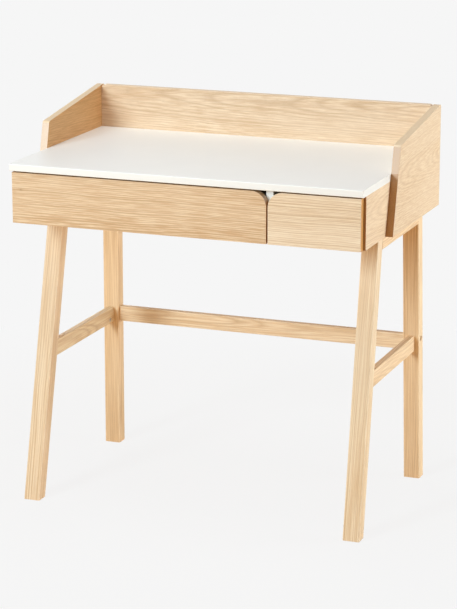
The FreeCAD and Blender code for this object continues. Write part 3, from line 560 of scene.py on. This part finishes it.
def paint(name, colour):
    """Powder coat on steel: fine orange peel and a satin sheen."""
    recipe = Recipe(name)
    coordinates = recipe.coordinates()
    peel = recipe.noise(coordinates, scale=1400.0)
    cloud = recipe.noise(coordinates, scale=40.0)
    tint = recipe.mix(recipe.rise(cloud, start=0.35, end=0.7), rgba(colour), rgba(colour, shade=0.93))
    normal = recipe.bump(peel, strength=0.25, distance=0.00005)
    return recipe.surface(Base_Color=tint, Roughness=0.4, Normal=normal)


def moulded(name, colour):
    """Moulded plastic: soft sheen and a faint mould texture."""
    recipe = Recipe(name)
    coordinates = recipe.coordinates()
    texture = recipe.noise(coordinates, scale=900.0)
    cloud = recipe.noise(coordinates, scale=120.0, detail=1.0)
    tint = recipe.mix(recipe.rise(cloud, start=0.35, end=0.7), rgba(colour), rgba(colour, shade=0.9))
    normal = recipe.bump(texture, strength=0.2, distance=0.00004)
    return recipe.surface(Base_Color=tint, Roughness=0.46, Normal=normal, Subsurface_Weight=0.08)


def zinc(name, colour):
    """Zinc plate on small steel parts: cloudy, with fine scratches."""
    recipe = Recipe(name)
    coordinates = recipe.coordinates()
    cloud = recipe.noise(coordinates, scale=260.0, detail=3.0)
    scratches = recipe.grain(coordinates, SCRATCHES)
    tint = recipe.mix(recipe.rise(cloud, start=0.3, end=0.7), rgba(colour), rgba(colour, shade=0.78))
    rough = recipe.scaled(cloud, factor=0.25, offset=0.2)
    normal = recipe.bump(scratches, strength=0.15, distance=0.00003)
    return recipe.surface(Base_Color=tint, Roughness=rough, Metallic=1.0, Normal=normal)


# Giving the finishes to the pieces

# Heights of the bands at a leg's foot and top whose middles give its lean
FOOT_BAND = 10 * MILLIMETRE
TOP_BAND = MILLIMETRE


def give(material, *names):
    """Puts a material on CAD pieces."""
    for name in names:
        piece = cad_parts[name]
        for slot in piece.material_slots:
            slot.material = material
        if not piece.material_slots:
            piece.data.materials.append(material)


def veneer(piece, cut, rings=0.5, streaks=0.5, clouds=0.14, tint=(1.0, 1.0, 1.0), knot=None, edge=None,
           upper=None, right_face_shade=None, growth=1.0):
    """Oak veneer in the desk's colours, with the tint of its own log, given to one board.

    edge and upper colour the edge bands, upper those that face upwards. The tint for the face towards the
    sitter's right is painted shade, which darkens and warms that face, and growth widens the growth rings.
    """
    finishes = bpy.context.scene.desk_finishes
    light = tinted(finishes.veneer_light, tint)
    dark = tinted(finishes.veneer_dark, tint, LATE_TINT)
    edges = Edges(edge or finishes.veneer_edge, finishes.veneer_edge, upper or finishes.upper_edge)
    oak = wood("oak_" + piece, piece, cut, light, dark, finishes.ring_spacing * growth, rings, streaks,
               clouds, edges, knot=knot, right_face_shade=right_face_shade, streak_length=VENEER_STREAK)
    give(oak, piece)


def solid_oak(piece, cut, lean=0.0, tint=(1.0, 1.0, 1.0)):
    """Solid oak in the desk's colours, with the tint of its own log, given to one bar or leg."""
    finishes = bpy.context.scene.desk_finishes
    light = tinted(finishes.solid_light, tint)
    dark = tinted(finishes.solid_dark, tint, LATE_TINT)
    oak = wood("oak_" + piece, piece, cut, light, dark, finishes.ring_spacing * SOLID_SPACING, rings=0.75,
               streaks=0.7, lean=lean)
    give(oak, piece)


def leg_lean(name):
    """Angle of a leg in the side view, from the middles of its foot and its top."""
    low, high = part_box(name)
    places = [vertex.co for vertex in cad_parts[name].data.vertices]
    foot = [place.y for place in places if place.z < low[2] + FOOT_BAND]
    top = [place.y for place in places if place.z > high[2] - TOP_BAND]
    return math.atan2(sum(top) / len(top) - sum(foot) / len(foot), high[2] - low[2])


class DESK_OT_worktop(bpy.types.Operator):
    """White lacquer on the worktop and the divider."""

    bl_idname = "desk.worktop"
    bl_label = "Finish worktop"

    def execute(self, context):
        white = lacquer("white_lacquer", context.scene.desk_finishes.white_lacquer)
        give(white, "worktop", "case_divider")
        return {"FINISHED"}


class DESK_OT_case(bpy.types.Operator):
    """Oak veneer on the case's sides and bottom."""

    bl_idname = "desk.case"
    bl_label = "Finish case"

    def execute(self, context):
        finishes = context.scene.desk_finishes
        # The right case side's dark edge bands are painted shade
        veneer("case_side_right", Cut("side", centre=10.0, depth=42.0, slope=-0.05), rings=0.35, streaks=0.35,
               tint=(1.03, 1.02, 1.03), edge=finishes.shaded_side_edge)
        veneer("case_side_left", Cut("side", centre=-20.0, depth=38.0, slope=0.05))
        veneer("case_bottom", Cut("level", centre=40.0, depth=60.0, slope=0.04))
        return {"FINISHED"}


class DESK_OT_gallery(bpy.types.Operator):
    """Oak veneer on the gallery's sides and back."""

    bl_idname = "desk.gallery"
    bl_label = "Finish gallery"

    def execute(self, context):
        finishes = context.scene.desk_finishes
        # The right side's dark edge bands are painted shade, strongest below the worktop
        veneer("gallery_side_right", Cut("side", centre=4.0, depth=34.0, slope=-0.09), rings=0.4,
               streaks=0.45, tint=(0.97, 0.96, 0.96), edge=finishes.shaded_side_edge)
        # The left side's face towards the sitter's right takes painted shade, darker and warmer
        veneer("gallery_side_left", Cut("side", centre=-30.0, depth=52.0, slope=0.05),
               tint=(1.04, 1.0, 0.96), right_face_shade=(1.04, 0.84, 0.58))
        veneer("gallery_back", Cut("front", centre=96.0, depth=40.0, slope=-0.05), rings=0.65, streaks=0.55,
               clouds=0.42, tint=(1.0, 0.97, 0.98), growth=1.2)
        return {"FINISHED"}


class DESK_OT_leg_frames(bpy.types.Operator):
    """Solid oak on the legs, rails and stretchers."""

    bl_idname = "desk.leg_frames"
    bl_label = "Finish leg frames"

    def execute(self, context):
        for name, centre, depth, tint in (
            ("front_leg_left", 24.0, 46.0, (1.06, 1.1, 1.15)),
            ("front_leg_right", 33.0, 29.0, (1.11, 1.18, 1.25)),
            ("rear_leg_left", 42.0, 12.0, (1.1, 1.07, 1.0)),
            ("rear_leg_right", 51.0, -5.0, (1.11, 1.09, 1.04)),
        ):
            solid_oak(name, Cut("upright", centre, depth, slope=0.012), leg_lean(name), tint)
        for name, centre, depth, tint in (
            ("top_rail_left", 38.0, 30.0, (1.1, 1.08, 1.04)),
            ("top_rail_right", 15.0, 42.0, (1.1, 1.08, 1.04)),
            ("side_stretcher_left", -8.0, 54.0, (1.11, 1.2, 1.22)),
            ("side_stretcher_right", -31.0, 66.0, (1.1, 1.08, 1.06)),
        ):
            solid_oak(name, Cut("side", centre, depth, slope=0.02), tint=tint)
        solid_oak("rear_stretcher", Cut("front", centre=9.0, depth=34.0, slope=0.022),
                  tint=(1.11, 1.2, 1.3))
        return {"FINISHED"}


class DESK_OT_drawers(bpy.types.Operator):
    """Oak veneer on the drawer fronts and plywood on the drawer boxes."""

    bl_idname = "desk.drawers"
    bl_label = "Finish drawers"

    def execute(self, context):
        finishes = context.scene.desk_finishes
        # The dark top edges of both fronts and the large front's dark edge bands are painted shade
        veneer("large_drawer_front", Cut("front", centre=-60.0, depth=20.0, slope=-0.03), rings=1.0,
               streaks=0.85, tint=(1.0, 0.98, 0.96), knot=(-264.0, 18.0), edge=finishes.shaded_side_edge,
               upper=finishes.shaded_grip_edge)
        veneer("small_drawer_front", Cut("front", centre=-120.0, depth=30.0, slope=-0.03), rings=0.85,
               streaks=0.4, tint=(1.1, 1.17, 1.27), edge=finishes.front_edge, upper=finishes.shaded_grip_edge)
        lays = {"side_left": "side", "side_right": "side", "back": "front", "base": "level"}
        for drawer in ("large_drawer_", "small_drawer_"):
            for part, lay in lays.items():
                board = drawer + part
                give(plywood("plywood_" + board, board, lay, finishes.plywood), board)
        return {"FINISHED"}


class DESK_OT_runners(bpy.types.Operator):
    """Powder coat on the runners and nylon on their rollers."""

    bl_idname = "desk.runners"
    bl_label = "Finish runners"

    def execute(self, context):
        finishes = context.scene.desk_finishes
        coat = paint("runner_paint", finishes.runner_paint)
        nylon = moulded("roller_nylon", finishes.roller_nylon)
        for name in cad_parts:
            if "runner" in name and "screws" not in name:
                give(coat, name)
            if "roller" in name:
                give(nylon, name)
        return {"FINISHED"}


class DESK_OT_fixings(bpy.types.Operator):
    """Zinc plate on bolts, nuts and screws, beech on the dowels and dark plastic on the glides."""

    bl_idname = "desk.fixings"
    bl_label = "Finish fixings"

    def execute(self, context):
        finishes = context.scene.desk_finishes
        plate = zinc("zinc_plate", finishes.zinc_plate)
        dowel = Cut("side", centre=6.0, depth=9.0, slope=0.01)
        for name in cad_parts:
            if "screws" in name or "bolts" in name or "nuts" in name:
                give(plate, name)
            if "dowels" in name:
                beech = wood("beech_" + name, name, dowel, finishes.beech_light, finishes.beech_dark,
                             DOWEL_SPACING, rings=0.4, streaks=0.4)
                give(beech, name)
        give(moulded("glide_plastic", finishes.glide_plastic), "foot_glides")
        return {"FINISHED"}


# Stage

# Distances from the desk's middle in metres: half the floor's width, up to where the floor shows the desk's
# shadow in full, and from where it shows none
FLOOR_HALF_WIDTH = 25.0
SHADOW_WHOLE = 0.7
SHADOW_GONE = 1.5

# How much of the floor's look near the desk is lit paper, and that paper's colour as a share of the
# background's
PAPER_COVER = 0.07
PAPER_SHADE = 1.03

# The camera's place in metres, and its turns in degrees: up from looking straight down, and to the left
CAMERA_PLACE = (1.7697, -4.6099, 1.7030)
CAMERA_TILT = 75.447
CAMERA_TURN = 20.911

# A soft rectangular light that looks at a point. power is the name of the setting with its power; places and
# sizes are in metres.
Lamp = namedtuple("Lamp", "name power place target width height colour")

LAMPS = (
    Lamp("key_light", "key_power", place=(-1.5, -4.0, 2.03), target=(0.0, 0.0, 0.6), width=0.8, height=2.0,
         colour=(0.80, 0.935, 1.0)),
    Lamp("top_light", "top_power", place=(-0.1, -0.25, 3.0), target=(0.0, -0.05, 0.75), width=1.6, height=1.2,
         colour=(0.92, 0.97, 1.0)),
    Lamp("side_light", "side_power", place=(3.3, 0.9, 0.55), target=(0.3, 0.05, 0.5), width=1.6, height=0.9,
         colour=(0.82, 0.945, 1.0)),
    Lamp("back_light", "back_power", place=(-2.4, 3.1, 0.45), target=(0.0, 0.1, 0.5), width=1.6, height=0.8,
         colour=(1.0, 0.97, 0.92)),
)


def seen_directly(nodes):
    """One for rays from the camera and for those that metal or glass shows."""
    path = nodes.add("ShaderNodeLightPath").outputs
    total = path["Is Camera Ray"]
    for name in ("Is Glossy Ray", "Is Transmission Ray"):
        total = nodes.add("ShaderNodeMath", {
            0: total, 1: path[name],
        }, operation="ADD", use_clamp=True).outputs[0]
    return total


def mixed_shaders(nodes, factor, first, second):
    """Two shaders mixed."""
    return nodes.add("ShaderNodeMixShader", {0: factor, 1: first.outputs[0], 2: second.outputs[0]})


def floor_material(colour, bounce):
    """Pale floor: it shows the background's colour and takes the desk's soft shadow near the desk."""
    material = bpy.data.materials.new("studio_floor")
    material.use_nodes = True
    nodes = Nodes(material.node_tree)
    nodes.tree.nodes.clear()
    plain = nodes.add("ShaderNodeEmission", {"Color": rgba(colour), "Strength": 1.0})
    paper = nodes.add("ShaderNodeBsdfDiffuse", {"Color": rgba(colour, PAPER_SHADE)})
    near = nodes.add("ShaderNodeMapRange", {
        "Value": nodes.length(nodes.coordinates()),
        "From Min": SHADOW_WHOLE,
        "From Max": SHADOW_GONE,
        "To Min": PAPER_COVER,
        "To Max": 0.0,
    }, interpolation_type="SMOOTHSTEP").outputs[0]
    seen = mixed_shaders(nodes, near, plain, paper)
    unseen = nodes.add("ShaderNodeBsdfDiffuse", {"Color": rgba(bounce)})
    chosen = mixed_shaders(nodes, seen_directly(nodes), unseen, seen)
    nodes.add("ShaderNodeOutputMaterial", {"Surface": chosen.outputs[0]})
    return material


def add_floor(stage):
    """A wide level floor."""
    sheet = bmesh.new()
    bmesh.ops.create_grid(sheet, x_segments=1, y_segments=1, size=FLOOR_HALF_WIDTH)
    mesh = bpy.data.meshes.new("studio_floor")
    sheet.to_mesh(mesh)
    sheet.free()
    mesh.materials.append(floor_material(stage.background, stage.floor_bounce))
    floor = bpy.data.objects.new("studio_floor", mesh)
    bpy.context.scene.collection.objects.link(floor)


def add_light(lamp, power):
    """One of the soft lights."""
    area = bpy.data.lights.new(lamp.name, "AREA")
    area.shape = "RECTANGLE"
    area.size = lamp.width
    area.size_y = lamp.height
    area.energy = power
    area.color = lamp.colour
    light = bpy.data.objects.new(lamp.name, area)
    bpy.context.scene.collection.objects.link(light)
    light.location = lamp.place
    direction = Vector(lamp.target) - Vector(lamp.place)
    light.rotation_euler = direction.to_track_quat("-Z", "Y").to_euler()


def add_world(stage):
    """Even light from all round, with the plain background behind the object."""
    world = bpy.data.worlds.new("studio_world")
    bpy.context.scene.world = world
    world.use_nodes = True
    nodes = Nodes(world.node_tree)
    nodes.tree.nodes.clear()
    room = nodes.add("ShaderNodeBackground", {
        "Color": rgba(stage.room_warmth), "Strength": stage.world_strength,
    })
    shown = nodes.add("ShaderNodeBackground", {"Color": rgba(stage.background), "Strength": 1.0})
    chosen = mixed_shaders(nodes, seen_directly(nodes), room, shown)
    nodes.add("ShaderNodeOutputWorld", {"Surface": chosen.outputs[0]})


def add_camera(focal_length):
    """The camera at the photograph's height, direction and distance."""
    lens = bpy.data.cameras.new("studio_camera")
    lens.sensor_fit = "AUTO"
    lens.sensor_width = 36.0
    lens.lens = focal_length
    lens.clip_start = 0.05
    lens.clip_end = 100.0
    camera = bpy.data.objects.new("studio_camera", lens)
    bpy.context.scene.collection.objects.link(camera)
    camera.location = CAMERA_PLACE
    camera.rotation_euler = (math.radians(CAMERA_TILT), 0.0, math.radians(CAMERA_TURN))
    bpy.context.scene.camera = camera


class DESK_OT_stage(bpy.types.Operator):
    """Floor, lights, background and camera."""

    bl_idname = "desk.stage"
    bl_label = "Set stage"

    def execute(self, context):
        stage = context.scene.desk_stage
        add_floor(stage)
        for lamp in LAMPS:
            add_light(lamp, getattr(stage, lamp.power))
        add_world(stage)
        add_camera(stage.focal_length)
        context.scene.view_settings.view_transform = "Standard"
        return {"FINISHED"}


# Panel

STEPS = (
    DESK_OT_worktop,
    DESK_OT_case,
    DESK_OT_gallery,
    DESK_OT_leg_frames,
    DESK_OT_drawers,
    DESK_OT_runners,
    DESK_OT_fixings,
    DESK_OT_stage,
)


class DESK_PT_panel(bpy.types.Panel):
    """Lists the desk's settings and steps in the sidebar."""

    bl_idname = "DESK_PT_panel"
    bl_label = "Writing desk"
    bl_space_type = "VIEW_3D"
    bl_region_type = "UI"
    bl_category = "Desk"

    def draw(self, context):
        for settings in (context.scene.desk_finishes, context.scene.desk_stage):
            for name in settings.__annotations__:
                self.layout.prop(settings, name)
        for step in STEPS:
            self.layout.operator(step.bl_idname)


CLASSES = (DeskFinishes, DeskStage) + STEPS + (DESK_PT_panel,)


def register():
    """Registers the add-on's classes and settings."""
    for item in CLASSES:
        bpy.utils.register_class(item)
    bpy.types.Scene.desk_finishes = PointerProperty(type=DeskFinishes)
    bpy.types.Scene.desk_stage = PointerProperty(type=DeskStage)


def unregister():
    """Removes the add-on's classes and settings."""
    del bpy.types.Scene.desk_stage
    del bpy.types.Scene.desk_finishes
    for item in reversed(CLASSES):
        bpy.utils.unregister_class(item)


def main():
    """Runs every step in order."""
    register()
    for step in STEPS:
        group, name = step.bl_idname.split(".")
        getattr(getattr(bpy.ops, group), name)()


if __name__ == "__main__":
    main()
